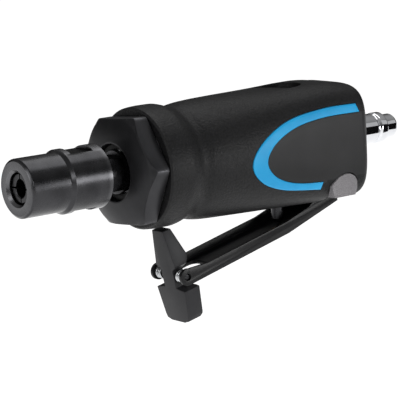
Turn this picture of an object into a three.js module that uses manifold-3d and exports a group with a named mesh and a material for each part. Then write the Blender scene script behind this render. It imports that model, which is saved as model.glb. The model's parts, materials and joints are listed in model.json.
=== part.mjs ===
// Air die grinder: a rotary vane motor in a composite grip, with a collet at the nose, a squeeze
// lever with a lock-off catch under the grip, and a quick-connect air plug at the rear.
//
// Millimetres. X runs along the motor axis from the nose to the air plug, Y across, Z up.
// Stations along X are measured from the front face of the collet nut, heights from the motor axis.
// At the end the whole tool is moved so that the origin is under its middle, at its lowest point.

import * as THREE from 'three';
import { mergeVertices } from 'three/addons/utils/BufferGeometryUtils.js';
import Module from 'manifold-3d';

const wasm = await Module();
wasm.setup();

// ---------------------------------------------------------------- driving dimensions

const FIT = 0.15; // radial gap of a seated or screwed pair
const RUN = 0.3; // gap between pieces that move past each other or butt together
const OVERCUT = 1; // how far a cutting tool runs past the face it opens

const ROUND = 26; // sides of a large round piece
const SMALL_ROUND = 16;

const SHANK_D = 6; // collet bore

const NUT_LENGTH = 31.6;
const NUT_FRONT_R = 10;
const NUT_REAR_R = 10.95;
const NUT_STEP = 15.3; // station where the nut grows
const NUT_MOUTH_R = 5.4;
const NUT_FLATS = 19; // across the two wrench flats
const NUT_FLAT_FROM = 18.6;
const NUT_FLAT_TO = 27.6;

const THREAD_R = 8.2; // nut thread, inside
const SPINDLE_FLATS = 11.3; // across the two wrench flats
const SPINDLE_COLLAR_R = 7.4;

const CAP_FRONT = 38.7;
const CAP_LENGTH = 8.8;
const CAP_FLATS = 36.2; // across the six flats
const CAP_CORNER_TURN = 4; // degrees from the side to the nearest corner
const CAP_HOLE_R = 9.9;
const CAP_SKIRT = 7.6; // threaded part inside the housing

const BODY_REAR = 140; // station of the rear face
const BODY_WIDTH = 39.4; // across the flat sides
const COLLAR_R = 21.3;
const VALLEY_R = 19.6;
const REAR_ROUND = 4.2; // fillet round the rear face
const WALL = 2.3; // thinnest wall of the grip cover

const MOTOR_FRONT = 57; // station of the front end plate
const CYLINDER_LENGTH = 34;
const ROTOR_R = 10.8;
const ROTOR_OFFSET = 1.3; // motor bore centre above the rotor axis
const VANE_COUNT = 5;
const VANE_THICK = 1.4;

const VALVE_X = 110.7;
const STEM_R = 2.3;
const VALVE_PASSAGE_Z = -12.5; // height of the air way across the valve

const PLUG_R = 5.65;
const PLUG_BEAD_R = 5.8;
const PLUG_NOSE_R = 4.55;
const PLUG_BORE_R = 3.6;
const PLUG_LENGTH = 28; // out of the rear face

const LEVER_WIDTH = 17.6;
const LEVER_SHEET = 1.2;
const LEVER_FLANGE = 4.2; // height of the side flanges
const LEVER_PIVOT = [128.6, -18.9];
const LEVER_BEND = [108.3, -30.9]; // bottom edge, where the lever kinks
const LEVER_REAR = [132.2, -22.5]; // bottom edge, rear end
const LEVER_PIN_R = 1.5;

const CATCH_PIVOT = [61.7, -39];
const CATCH_PIN_R = 1.15;
const CATCH_TILT = 12; // degrees that the catch leans, top forward
const CATCH_REACH = 17; // pivot to the top of the finger
const CATCH_DROP = 17.2; // pivot to the bottom of the thumb block
const CATCH_BLOCK_WIDTH = 16;

const STRIPE_PROUD = 0.35;
const STRIPE_DEPTH = 1.1;

// ---------------------------------------------------------------- solid helpers

// How each drawing plane lies in the tool: the drawing's x, its y, and the way it is pushed out.
const PLANES = {
  side: [[1, 0, 0], [0, 0, 1], [0, -1, 0]],
  front: [[0, 1, 0], [0, 0, 1], [1, 0, 0]],
  top: [[1, 0, 0], [0, 1, 0], [0, 0, 1]],
};

// Which way a turned profile's length runs.
const TURNED = {
  x: [[0, -1, 0], [1, 0, 0], [0, 0, 1]],
  y: [[1, 0, 0], [0, 1, 0], [0, 0, 1]],
  z: [[1, 0, 0], [0, 0, 1], [0, -1, 0]],
};

function basis(columns) {
  const [u, v, w] = columns.map((column) => new THREE.Vector3(...column));
  return new THREE.Matrix4().makeBasis(u, v, w);
}

// A closed geometry as a solid: shared corners are merged and empty triangles left out.
function solid(geometry) {
  const bare = geometry.clone();
  bare.deleteAttribute('normal');
  bare.deleteAttribute('uv');
  const merged = mergeVertices(bare, 1e-4);
  const index = merged.index.array;
  const triangles = [];
  for (let i = 0; i < index.length; i += 3) {
    const [a, b, c] = [index[i], index[i + 1], index[i + 2]];
    if (a !== b && b !== c && c !== a) triangles.push(a, b, c);
  }
  const build = (triVerts) => new wasm.Manifold(new wasm.Mesh({
    numProp: 3,
    vertProperties: Float32Array.from(merged.attributes.position.array),
    triVerts: Uint32Array.from(triVerts),
  }));
  const made = build(triangles);
  if (made.volume() > 0) return made;
  return build(triangles.reverse());
}

// A turned piece: profile points are [radius, length], closed on itself unless it ends on the axis.
function turned(profile, axis = 'x', at = [0, 0, 0], segments = ROUND) {
  const points = profile.map(([radius, length]) => new THREE.Vector2(radius, length));
  const onAxis = profile[0][0] === 0 && profile.at(-1)[0] === 0;
  if (!onAxis) points.push(points[0].clone());
  const geometry = new THREE.LatheGeometry(points, segments);
  geometry.applyMatrix4(basis(TURNED[axis]));
  geometry.translate(...at);
  return solid(geometry);
}

// A plain round bar or drill along an axis, from one station to another.
function bar(radius, from, to, axis = 'x', at = [0, 0, 0], segments = ROUND) {
  return turned([[0, from], [radius, from], [radius, to], [0, to]], axis, at, segments);
}

// An outline pushed out square to its plane, from one depth to another.
function prism(points, plane, from, to) {
  const shape = points instanceof THREE.Shape
    ? points
    : new THREE.Shape(points.map(([u, v]) => new THREE.Vector2(u, v)));
  const options = { depth: to - from, curveSegments: 6, bevelEnabled: false };
  const geometry = new THREE.ExtrudeGeometry(shape, options);
  geometry.translate(0, 0, from);
  geometry.applyMatrix4(basis(PLANES[plane]));
  return solid(geometry);
}

// An outline in the side view, symmetric about the middle of the tool.
function sidePlate(points, width) {
  return prism(points, 'side', -width / 2, width / 2);
}

function box(x, y, z) {
  const geometry = new THREE.BoxGeometry(x[1] - x[0], y[1] - y[0], z[1] - z[0]);
  geometry.translate((x[0] + x[1]) / 2, (y[0] + y[1]) / 2, (z[0] + z[1]) / 2);
  return solid(geometry);
}

// Round wire of one radius along a smooth line through the points.
function wire(points, radius, steps) {
  const section = new THREE.Shape();
  section.absarc(0, 0, radius, 0, Math.PI * 2);
  const path = new THREE.CatmullRomCurve3(points.map((p) => new THREE.Vector3(...p)));
  const options = { steps, curveSegments: 3, bevelEnabled: false, extrudePath: path };
  return solid(new THREE.ExtrudeGeometry(section, options));
}

// Copies of a solid turned in equal steps about the motor axis.
function ring(piece, count, turn = 0) {
  const copies = [];
  for (let i = 0; i < count; i += 1) copies.push(piece.rotate([turn + (360 * i) / count, 0, 0]));
  return copies;
}

function cutAll(piece, tools) {
  return tools.reduce((left, tool) => left.subtract(tool), piece);
}

function addAll(piece, others) {
  return others.reduce((sum, other) => sum.add(other), piece);
}

// ---------------------------------------------------------------- materials

function material(colour, roughness, metalness) {
  return new THREE.MeshStandardMaterial({ color: colour, roughness, metalness });
}

const blackOxide = material(0x2b2b2e, 0.35, 0.8);
const anodised = material(0x38383b, 0.5, 0.5);
const composite = material(0x1d1d1f, 0.75, 0);
const stripeBlue = material(0x25aee6, 0.45, 0);
const castGrey = material(0x7a787b, 0.8, 0.4);
const blackSteel = material(0x19191b, 0.5, 0.6);
const satinGrey = material(0x333336, 0.55, 0.5);
const chrome = material(0xd8dadd, 0.08, 1);
const steel = material(0xb4b6b9, 0.3, 1);
const brass = material(0xc8a24c, 0.35, 1);
const rubber = material(0x151515, 0.9, 0);
const phenolic = material(0x6b4a2a, 0.7, 0);
const felt = material(0x8c8a84, 0.95, 0);

const tool = new THREE.Group();

function addNode(name, piece, finish) {
  const mesh = piece.getMesh();
  const geometry = new THREE.BufferGeometry();
  geometry.setAttribute('position', new THREE.BufferAttribute(mesh.vertProperties, 3));
  geometry.setIndex(new THREE.BufferAttribute(mesh.triVerts, 1));
  geometry.computeVertexNormals();
  const node = new THREE.Mesh(geometry, finish);
  node.name = name;
  tool.add(node);
}

// ---------------------------------------------------------------- collet, nut and spindle

const shankR = SHANK_D / 2;
const nutSeatFrom = 3; // closing cone in the nut
const nutSeatTo = 6.5;
const nutSeatR = 7.4;
const noseFront = 8; // front of the spindle's taper
const noseMouthR = 6.9;
const taperEnd = 25;
const taperEndR = 4.6;
const colletFront = 1.6;
const colletRear = taperEnd - RUN;

function colletNut() {
  const outside = [
    [NUT_FRONT_R - 0.9, 0],
    [NUT_FRONT_R, 0.7],
    [NUT_FRONT_R, NUT_STEP],
    [NUT_REAR_R, NUT_STEP + 1.2],
    [NUT_REAR_R, NUT_LENGTH - 0.4],
    [NUT_REAR_R - 0.3, NUT_LENGTH],
  ];
  const reliefR = SPINDLE_COLLAR_R + 1.6;
  const inside = [
    [reliefR, NUT_LENGTH],
    [reliefR, 24.6],
    [THREAD_R, 23.8],
    [THREAD_R, nutSeatTo + 0.4],
    [nutSeatR, nutSeatTo],
    [NUT_MOUTH_R, nutSeatFrom],
    [NUT_MOUTH_R, 0.8],
    [NUT_MOUTH_R + 0.8, 0],
  ];
  let nut = turned([...outside, ...inside]);
  for (const side of [-1, 1]) {
    const edges = [side * NUT_FLATS / 2, side * (NUT_REAR_R + OVERCUT)].sort((a, b) => a - b);
    nut = nut.subtract(box([NUT_FLAT_FROM, NUT_FLAT_TO], [-NUT_REAR_R, NUT_REAR_R], edges));
  }
  return nut;
}

function collet() {
  const coneR = noseMouthR - RUN;
  const body = turned([
    [shankR, colletFront],
    [NUT_MOUTH_R - RUN - 0.3, colletFront],
    [NUT_MOUTH_R - RUN, colletFront + 0.3],
    [NUT_MOUTH_R - RUN, nutSeatFrom + 0.2],
    [coneR, nutSeatTo - 0.3],
    [coneR, noseFront - 0.4],
    [taperEndR - RUN, colletRear],
    [shankR, colletRear],
  ], 'x', [0, 0, 0], SMALL_ROUND);
  const slitWidth = 0.7;
  const slitEnd = 17;
  const slit = box([0, slitEnd], [-slitWidth / 2, slitWidth / 2], [0, THREAD_R]);
  return cutAll(body, ring(slit, 4, 90));
}

const bearingFront = 43.5;
const frontBearing = { boreR: 6, outerR: 12, width: 6, ballR: 1.5, balls: 8 };
const spindleRear = bearingFront + frontBearing.width + 1.1;
const rotorShaftR = 4;

function spindle() {
  const nose = [
    [0, taperEnd + 9],
    [shankR + 0.4, taperEnd + 8],
    [shankR + 0.4, taperEnd],
    [taperEndR, taperEnd],
    [noseMouthR, noseFront],
    [THREAD_R - RUN - 0.5, noseFront],
    [THREAD_R - RUN, noseFront + 0.5],
    [THREAD_R - RUN, 23],
    [SPINDLE_COLLAR_R, 23.5],
    [SPINDLE_COLLAR_R, 40],
    [SPINDLE_COLLAR_R - 0.5, bearingFront - RUN],
    [frontBearing.boreR, bearingFront - RUN],
    [frontBearing.boreR, spindleRear],
    [rotorShaftR + FIT, spindleRear],
    [rotorShaftR + FIT, spindleRear - 10],
    [0, spindleRear - 11],
  ];
  let piece = turned(nose);
  for (const side of [-1, 1]) {
    const edges = [side * SPINDLE_FLATS / 2, side * 9].sort((a, b) => a - b);
    piece = piece.subtract(box([26.5, CAP_FRONT + 0.6], [-9, 9], edges));
  }
  return piece;
}

function spindleSeal() {
  const sealR = CAP_HOLE_R - FIT;
  const from = CAP_FRONT + 2.1;
  const to = from + 2.1;
  const lip = SPINDLE_COLLAR_R + RUN;
  return turned([[lip, from + 0.4], [lip + 0.5, from], [sealR, from], [sealR, to], [lip, to]]);
}

addNode('collet_nut', colletNut(), blackOxide);
addNode('collet', collet(), steel);
addNode('spindle', spindle(), blackOxide);
addNode('spindle_seal', spindleSeal(), rubber);

// ---------------------------------------------------------------- ball bearings

// Rings with a groove for the balls, and the balls held in a cage as one piece.
function bearing(name, spec, front) {
  const { boreR, outerR, width, ballR, balls } = spec;
  const pitchR = (boreR + outerR) / 2;
  const grooveR = ballR + FIT;
  const middle = front + width / 2;
  const land = ballR * 0.62; // ring faces stand this far from the pitch circle
  const groove = (side) => {
    const reach = Math.acos(land / grooveR);
    const points = [];
    for (let i = 0; i <= 4; i += 1) {
      const angle = -reach + (i * reach) / 2;
      const radius = pitchR + side * grooveR * Math.cos(angle);
      points.push([radius, middle + grooveR * Math.sin(angle)]);
    }
    return points;
  };
  const innerBore = boreR + FIT;
  const outerSeat = outerR - FIT;
  const inner = turned([
    [innerBore, front], [pitchR - land, front], ...groove(-1),
    [pitchR - land, front + width], [innerBore, front + width],
  ], 'x', [0, 0, 0], SMALL_ROUND);
  const outer = turned([
    [outerSeat, front], [pitchR + land, front], ...groove(1),
    [pitchR + land, front + width], [outerSeat, front + width],
  ], 'x', [0, 0, 0], SMALL_ROUND);
  const cageHalf = ballR * 0.5;
  const cage = turned([
    [pitchR - 0.4, middle - cageHalf], [pitchR + 0.4, middle - cageHalf],
    [pitchR + 0.4, middle + cageHalf], [pitchR - 0.4, middle + cageHalf],
  ], 'x', [0, 0, 0], SMALL_ROUND);
  const ballShape = new THREE.SphereGeometry(ballR, 7, 5);
  ballShape.translate(middle, 0, pitchR);
  addNode(`${name}_inner_ring`, inner, steel);
  addNode(`${name}_outer_ring`, outer, steel);
  addNode(`${name}_balls`, addAll(cage, ring(solid(ballShape), balls)), brass);
}

bearing('front_bearing', frontBearing, bearingFront);

// ---------------------------------------------------------------- front clamp cap

const capRear = CAP_FRONT + CAP_LENGTH;
const housingR = VALLEY_R - WALL - RUN; // outside of the metal housing
const skirtR = housingR - 0.6;
const bearingSeatR = frontBearing.outerR;

function frontCap() {
  const cornerR = CAP_FLATS / Math.sqrt(3);
  const corners = [];
  for (let i = 0; i < 6; i += 1) {
    const angle = THREE.MathUtils.degToRad(180 - CAP_CORNER_TURN - 60 * i);
    corners.push([cornerR * Math.cos(angle), cornerR * Math.sin(angle)]);
  }
  const hexagon = prism(corners.reverse(), 'front', CAP_FRONT - OVERCUT, capRear);
  // A domed front face, so that each corner starts further back than the hole's edge.
  const dome = turned([
    [0, CAP_FRONT],
    [CAP_HOLE_R + 0.6, CAP_FRONT],
    [13.2, CAP_FRONT + 0.45],
    [16, CAP_FRONT + 1.35],
    [18.4, CAP_FRONT + 2.45],
    [cornerR, CAP_FRONT + 3.7],
    [cornerR + OVERCUT, CAP_FRONT + 4.2],
    [cornerR + OVERCUT, capRear],
    [0, capRear],
  ]);
  const skirt = bar(skirtR, capRear - OVERCUT, capRear + CAP_SKIRT);
  const hole = bar(CAP_HOLE_R, CAP_FRONT - OVERCUT, capRear);
  const seat = bar(bearingSeatR, bearingFront - RUN, capRear + CAP_SKIRT + OVERCUT);
  return cutAll(hexagon.intersect(dome).add(skirt), [hole, seat]);
}

addNode('front_cap', frontCap(), anodised);

// ---------------------------------------------------------------- vane motor

const motorR = housingR - 2.5; // outside of the motor parts
const cylinderFront = MOTOR_FRONT + 4.6;
const cylinderRear = cylinderFront + CYLINDER_LENGTH;
const rotorFront = cylinderFront + RUN;
const rotorRear = cylinderRear - RUN;
const motorBoreR = ROTOR_R + ROTOR_OFFSET + FIT;
const rearPlateFront = cylinderRear + RUN;
const rearBearing = { boreR: rotorShaftR, outerR: 9.5, width: 6, ballR: 1.5, balls: 7 };
const rearBearingFront = rearPlateFront + 1.8;
const motorRear = rearBearingFront + rearBearing.width + RUN;
const shoulderR = 5.7;
const dowelR = 1;
const dowelAt = [0, 0, -(motorR + motorBoreR - ROTOR_OFFSET) / 2];

function dowelHole(from, to) {
  return bar(dowelR + FIT, from, to, 'x', dowelAt, 16);
}

function frontEndPlate() {
  const rear = cylinderFront - RUN;
  const bore = shoulderR + RUN;
  const disc = turned([[bore, MOTOR_FRONT], [motorR, MOTOR_FRONT], [motorR, rear], [bore, rear]]);
  return disc.subtract(dowelHole(MOTOR_FRONT + 1.2, rear + OVERCUT));
}

function motorCylinder() {
  const sleeve = bar(motorR, cylinderFront, cylinderRear);
  const bore = bar(motorBoreR, cylinderFront - OVERCUT, cylinderRear + OVERCUT, 'x',
    [0, 0, ROTOR_OFFSET]);
  const ports = [];
  const portPitch = CYLINDER_LENGTH / 6;
  for (let i = 1; i < 6; i += 1) {
    ports.push(bar(1.4, 0, motorR + OVERCUT, 'y', [cylinderFront + i * portPitch, 0, 4], 8));
  }
  return cutAll(sleeve, [bore, ...ports, dowelHole(cylinderFront - OVERCUT, cylinderRear + OVERCUT)]);
}

function rotor() {
  const body = turned([
    [0, spindleRear - 9],
    [rotorShaftR, spindleRear - 9],
    [rotorShaftR, spindleRear + RUN],
    [shoulderR, spindleRear + RUN],
    [shoulderR, rotorFront],
    [ROTOR_R, rotorFront],
    [ROTOR_R, rotorRear],
    [shoulderR, rotorRear],
    [shoulderR, rotorRear + 1],
    [rotorShaftR, rotorRear + 1],
    [rotorShaftR, motorRear - RUN],
    [0, motorRear - RUN],
  ]);
  const half = VANE_THICK / 2 + FIT;
  const slot = box([rotorFront - OVERCUT, rotorRear + OVERCUT], [-half, half], [shoulderR + 0.1, ROTOR_R + 1]);
  return cutAll(body, ring(slot, VANE_COUNT));
}

function rearEndPlate() {
  const seatR = rearBearing.outerR;
  const bore = shoulderR + RUN;
  const seatFront = rearBearingFront - RUN;
  const plate = turned([
    [bore, rearPlateFront],
    [motorR, rearPlateFront],
    [motorR, motorRear],
    [seatR, motorRear],
    [seatR, seatFront],
    [bore, seatFront],
  ]);
  return plate.subtract(dowelHole(rearPlateFront - OVERCUT, motorRear - 1.5));
}

addNode('front_end_plate', frontEndPlate(), steel);
addNode('motor_cylinder', motorCylinder(), steel);
addNode('rotor', rotor(), steel);
const vane = box(
  [rotorFront + 0.2, rotorRear - 0.2],
  [-VANE_THICK / 2, VANE_THICK / 2],
  [shoulderR + 0.1 + RUN, ROTOR_R - RUN],
);
ring(vane, VANE_COUNT).forEach((piece, i) => addNode(`vane_${i + 1}`, piece, phenolic));
addNode('motor_dowel', bar(dowelR, MOTOR_FRONT + 1.5, motorRear - 1.8, 'x', dowelAt, 16), steel);
addNode('rear_end_plate', rearEndPlate(), steel);
bearing('rear_bearing', rearBearing, rearBearingFront);

// ---------------------------------------------------------------- outer shape of the grip

const bodyFront = capRear + 0.5;
const halfWidth = BODY_WIDTH / 2;

// Stations of the grip: [x, half width, height above the axis, depth below it, squareness].
// Squareness 2 is round; more than that bulges towards the corners.
const GRIP_STATIONS = [
  [bodyFront, COLLAR_R - 0.9, COLLAR_R - 0.9, COLLAR_R - 0.9, 2],
  [bodyFront + 0.6, COLLAR_R - 0.3, COLLAR_R - 0.3, COLLAR_R - 0.3, 2],
  [53, COLLAR_R, COLLAR_R, COLLAR_R, 2],
  [57, COLLAR_R, COLLAR_R, COLLAR_R, 2],
  [59.5, COLLAR_R - 0.5, COLLAR_R - 0.5, COLLAR_R - 0.4, 2],
  [61.5, COLLAR_R - 1.2, COLLAR_R - 1.2, COLLAR_R - 1, 2],
  [63, VALLEY_R, VALLEY_R, VALLEY_R + 0.3, 2],
  [64.5, VALLEY_R, VALLEY_R, VALLEY_R + 0.3, 2],
  [67, VALLEY_R + 0.5, VALLEY_R + 0.5, VALLEY_R + 0.8, 2.05],
  [72, 20.6, 20.6, 21, 2.1],
  [80, 20.7, 20.9, 21.3, 2.2],
  [90, 20.4, 21, 21.5, 2.45],
  [100, 20, 21, 21.6, 2.8],
  [110, halfWidth, 21.1, 21.7, 3.2],
  [120, halfWidth, 21.3, 21.8, 3.6],
  [126, halfWidth, 21.3, 21.8, 3.8],
  [131, halfWidth, 21, 21.7, 4],
];
const rearStation = [BODY_REAR - REAR_ROUND, halfWidth, 20.4, 21.4, 4.2];

// The grip's outer surface, moved out by grow, as one solid.
function gripShape(grow, sides = 40) {
  const stations = GRIP_STATIONS.map(([x, a, top, bottom, n]) => [x, a + grow, top + grow, bottom + grow, n]);
  const [x, a, top, bottom, n] = rearStation;
  for (let i = 0; i <= 4; i += 1) {
    const angle = (i * Math.PI) / 8;
    const inset = (REAR_ROUND) * (1 - Math.cos(angle)) - grow;
    stations.push([x + (REAR_ROUND + grow) * Math.sin(angle), a - inset, top - inset, bottom - inset, n]);
  }
  const positions = [];
  for (const [at, wide, up, down, power] of stations) {
    for (let k = 0; k < sides; k += 1) {
      const angle = (2 * Math.PI * k) / sides;
      const [c, s] = [Math.cos(angle), Math.sin(angle)];
      const high = s >= 0 ? up : down;
      const r = (Math.abs(c / wide) ** power + Math.abs(s / high) ** power) ** (-1 / power);
      positions.push(at, r * c, r * s);
    }
  }
  const rows = stations.length;
  const first = positions.length / 3;
  positions.push(stations[0][0], 0, 0, stations[rows - 1][0], 0, 0);
  const index = [];
  for (let k = 0; k < sides; k += 1) {
    const next = (k + 1) % sides;
    for (let row = 0; row < rows - 1; row += 1) {
      const [p, q] = [row * sides, (row + 1) * sides];
      index.push(p + k, p + next, q + next, p + k, q + next, q + k);
    }
    const last = (rows - 1) * sides;
    index.push(first, next, k, first + 1, last + k, last + next);
  }
  const geometry = new THREE.BufferGeometry();
  geometry.setAttribute('position', new THREE.Float32BufferAttribute(positions, 3));
  geometry.setIndex(index);
  return solid(geometry);
}

// ---------------------------------------------------------------- metal housing

const [pivotX, pivotZ] = LEVER_PIVOT;
const coverBoreR = housingR + RUN;
const housingRear = BODY_REAR - 4.6;
const blockFront = motorRear + RUN;
const chamberR = 5;
const chamberTop = 7;
const inletBushingR = 9;
const inletFront = 124;
const slotHalf = LEVER_WIDTH / 2 + 0.7;
const slotFront = pivotX - 13;
const slotRear = LEVER_REAR[0] + 1.4;
const slotTop = pivotZ + 3.4;
const lugHalf = 3.8; // half width of the lug that holds the lever's pin
const lugTop = pivotZ + 6.2;
const silencerInnerR = inletBushingR + 1.2;
const silencerOuterR = housingR - 1.6;
const silencerDepth = 6;

// Side view of a lug: upright, with a round top.
function archOutline(half, top, bottom) {
  const arch = new THREE.Shape();
  arch.moveTo(pivotX + half, bottom);
  arch.lineTo(pivotX + half, top - half);
  arch.absarc(pivotX, top - half, half, 0, Math.PI);
  arch.lineTo(pivotX - half, bottom);
  arch.closePath();
  return arch;
}

function leverSlot(grow) {
  const x = [slotFront - grow, slotRear + grow];
  return box(x, [-slotHalf - grow, slotHalf + grow], [-30, slotTop + grow]);
}

function motorHousing() {
  const front = bodyFront + 0.4;
  const threadEnd = capRear + CAP_SKIRT + RUN;
  const sleeve = turned([
    [skirtR + FIT, front],
    [housingR, front],
    [housingR, housingRear],
    [0, housingRear],
    [0, blockFront],
    [motorR + FIT, blockFront],
    [motorR + FIT, threadEnd],
    [skirtR + FIT, threadEnd],
  ]);
  const lugs = prism(archOutline(lugHalf, lugTop, -19.6), 'side', -halfWidth, halfWidth)
    .intersect(gripShape(-1.3));
  const exhaust = [];
  for (let i = 1; i < 6; i += 1) {
    const x = cylinderFront + (i * CYLINDER_LENGTH) / 6;
    exhaust.push(bar(1.4, motorR - 1, housingR + OVERCUT, 'y', [x, 0, 4], 8));
  }
  const silencerSeat = turned([
    [silencerInnerR, housingRear - silencerDepth - RUN],
    [silencerOuterR, housingRear - silencerDepth - RUN],
    [silencerOuterR, housingRear + OVERCUT],
    [silencerInnerR, housingRear + OVERCUT],
  ]);
  return cutAll(sleeve.add(lugs), [
    ...exhaust,
    silencerSeat,
    leverSlot(0),
    bar(inletBushingR + FIT, inletFront, housingRear + OVERCUT),
    bar(3, VALVE_X, inletFront + OVERCUT, 'x', [0, 0, 2], 16),
    bar(chamberR, -housingR - OVERCUT, chamberTop, 'z', [VALVE_X, 0, 0]),
    bar(2, blockFront - OVERCUT, VALVE_X, 'x', [0, 0, VALVE_PASSAGE_Z], 16),
    bar(LEVER_PIN_R + FIT, -halfWidth, halfWidth, 'y', [pivotX, 0, pivotZ], 20),
  ]);
}

addNode('motor_housing', motorHousing(), castGrey);

// ---------------------------------------------------------------- grip cover and colour stripes

const bushingHeadR = 5.7;
const reliefHalf = 3.5; // groove under the collar that the catch's finger sweeps through

// Outline of the stripe on the flat side: a wide bend at the front, thin legs towards the rear.
function stripeOutline(grow) {
  const spline = (points) => new THREE.SplineCurve(points.map((p) => new THREE.Vector2(...p)));
  const outer = spline([
    [133.4, 13.6 + grow], [118, 13.5 + grow], [101, 11 + grow], [88.4, 5 + grow * 0.8],
    [83.4 - grow, -2], [88, -8.6 - grow * 0.8], [99, -13 - grow], [116, -15.3 - grow],
  ]);
  const inner = spline([
    [116.6, -12.6 + grow], [104, -11.2 + grow], [94.4, -7.6 + grow], [90.2 + grow, -2],
    [94, 3.8 - grow], [104, 8.4 - grow], [118, 10.5 - grow], [134.6, 10.6 - grow],
  ]);
  const points = [...outer.getPoints(20), ...inner.getPoints(20)];
  if (grow > 0) {
    points[0].x += grow;
    points[20].x += grow;
    points[21].x += grow;
    points.at(-1).x += grow;
  }
  return new THREE.Shape(points);
}

function sideShell(side, outline, inner, outer) {
  const depth = side < 0 ? [5, halfWidth + 4] : [-halfWidth - 4, -5];
  return prism(outline, 'side', ...depth).intersect(gripShape(outer)).subtract(gripShape(inner));
}

function gripCover() {
  const shell = gripShape(0);
  const bore = bar(coverBoreR, bodyFront - OVERCUT, housingRear + RUN);
  const rearHole = bar(inletBushingR + RUN, housingRear, BODY_REAR + OVERCUT);
  const exhaustHole = bar(1.3, housingRear, BODY_REAR + OVERCUT, 'x',
    [0, 0, (silencerInnerR + silencerOuterR) / 2], 12);
  // Windows that leave the housing's lugs bare on both sides.
  const windows = prism(archOutline(lugHalf + RUN, lugTop + RUN, -30), 'side', -halfWidth, halfWidth);
  // A thumb rest on the back: a slot with round ends whose floor dips towards the rear.
  const restLength = 20;
  const restHalf = 7.6;
  const rest = new THREE.Shape();
  rest.moveTo(0, -restHalf);
  rest.lineTo(restLength - restHalf, -restHalf);
  rest.absarc(restLength - restHalf, 0, restHalf, -Math.PI / 2, Math.PI / 2);
  rest.lineTo(0, restHalf);
  rest.closePath();
  const thumbRest = prism(rest, 'top', 0, 8).rotate([0, 5.4, 0]).translate([102, 0, 21.1]);
  // The groove in the underside that clears the finger of the catch as it folds back.
  const relief = sidePlate([
    [58.2, -COLLAR_R - OVERCUT], [58.2, -COLLAR_R + 0.6], [61.2, -18.6], [66, -17.7],
    [72, -17.7], [78, -19.8], [80.4, -COLLAR_R - OVERCUT],
  ], 2 * reliefHalf);
  const stripes = [-1, 1].map((side) => (
    sideShell(side, stripeOutline(0.25), -STRIPE_DEPTH - RUN, 2)));
  return cutAll(shell, [
    bore,
    rearHole,
    ...ring(exhaustHole, 8, 22.5),
    windows,
    leverSlot(0),
    thumbRest,
    relief,
    ...stripes,
    bar(bushingHeadR + RUN, -halfWidth - 10, 0, 'z', [VALVE_X, 0, 0]),
  ]);
}

addNode('grip_cover', gripCover(), composite);
addNode('stripe_left', sideShell(-1, stripeOutline(0), -STRIPE_DEPTH, STRIPE_PROUD), stripeBlue);
addNode('stripe_right', sideShell(1, stripeOutline(0), -STRIPE_DEPTH, STRIPE_PROUD), stripeBlue);

// ---------------------------------------------------------------- throttle valve

const bushingTop = -9;
const headR = 4.2;
const springFoot = bushingTop + 3.3;
const springWire = 0.4;

function valveBushing() {
  const boreR = STEM_R + 0.2;
  const bottom = -21.2;
  const ringTop = bottom + 3.6;
  const piece = turned([
    [boreR, bottom],
    [bushingHeadR, bottom],
    [bushingHeadR, -housingR - RUN],
    [chamberR - FIT, -housingR - RUN],
    [chamberR - FIT, -14.6],
    [3.7, -14.2],
    [3.7, -10.8],
    [chamberR - FIT, -10.4],
    [chamberR - FIT, bushingTop],
    [boreR, bushingTop],
    [boreR, ringTop],
    [boreR + 1.2, ringTop],
    [boreR + 1.2, ringTop - 1.6],
    [boreR, ringTop - 1.6],
  ], 'z', [VALVE_X, 0, 0], SMALL_ROUND);
  const at = [VALVE_X, 0, VALVE_PASSAGE_Z];
  const ports = ['x', 'y'].map((axis) => bar(1.2, -chamberR, chamberR, axis, at, 12));
  return cutAll(piece, ports);
}

// Height of the upper face of the lever's floor behind its bend.
function leverFloor(x) {
  const slope = (LEVER_REAR[1] - LEVER_BEND[1]) / (LEVER_REAR[0] - LEVER_BEND[0]);
  const thickness = LEVER_SHEET * Math.hypot(1, slope);
  return LEVER_BEND[1] + (x - LEVER_BEND[0]) * slope + thickness;
}

const stemTipR = STEM_R / 2;
const stemTip = leverFloor(VALVE_X + stemTipR) + 0.2;

function valveStem() {
  const headBottom = bushingTop + RUN;
  return turned([
    [0, stemTip],
    [stemTipR, stemTip + 0.12],
    [STEM_R * 0.87, stemTip + 0.6],
    [STEM_R, stemTip + 1.4],
    [STEM_R, -15.2],
    [1.4, -14.6],
    [1.4, headBottom],
    [headR, headBottom],
    [headR, headBottom + 1.6],
    [2.2, headBottom + 2.2],
    [2.2, headBottom + 3.4],
    [0, headBottom + 3.4],
  ], 'z', [VALVE_X, 0, 0], SMALL_ROUND);
}

function valveOring() {
  const tube = 0.5;
  const centre = STEM_R + 0.1 + tube;
  const points = [];
  for (let i = 0; i < 8; i += 1) {
    const angle = (i * Math.PI) / 4;
    points.push([centre + tube * Math.cos(angle), -18.4 + tube * Math.sin(angle)]);
  }
  return turned(points, 'z', [VALVE_X, 0, 0], SMALL_ROUND);
}

function valveSpring() {
  const coilR = 3.2;
  const turns = 5;
  const perTurn = 8;
  const height = chamberTop - springFoot - RUN - 2 * springWire;
  const points = [];
  for (let i = 0; i <= turns * perTurn; i += 1) {
    const angle = (2 * Math.PI * i) / perTurn;
    const z = springFoot + springWire + (height * i) / (turns * perTurn);
    points.push([VALVE_X + coilR * Math.cos(angle), coilR * Math.sin(angle), z]);
  }
  return wire(points, springWire, turns * perTurn);
}

addNode('valve_bushing', valveBushing(), brass);
addNode('valve_oring', valveOring(), rubber);
addNode('valve_stem', valveStem(), steel);
addNode('valve_spring', valveSpring(), steel);

// ---------------------------------------------------------------- air inlet and silencer

const plugThreadR = 6.2;
const screenFront = inletFront + 1.4;

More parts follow.
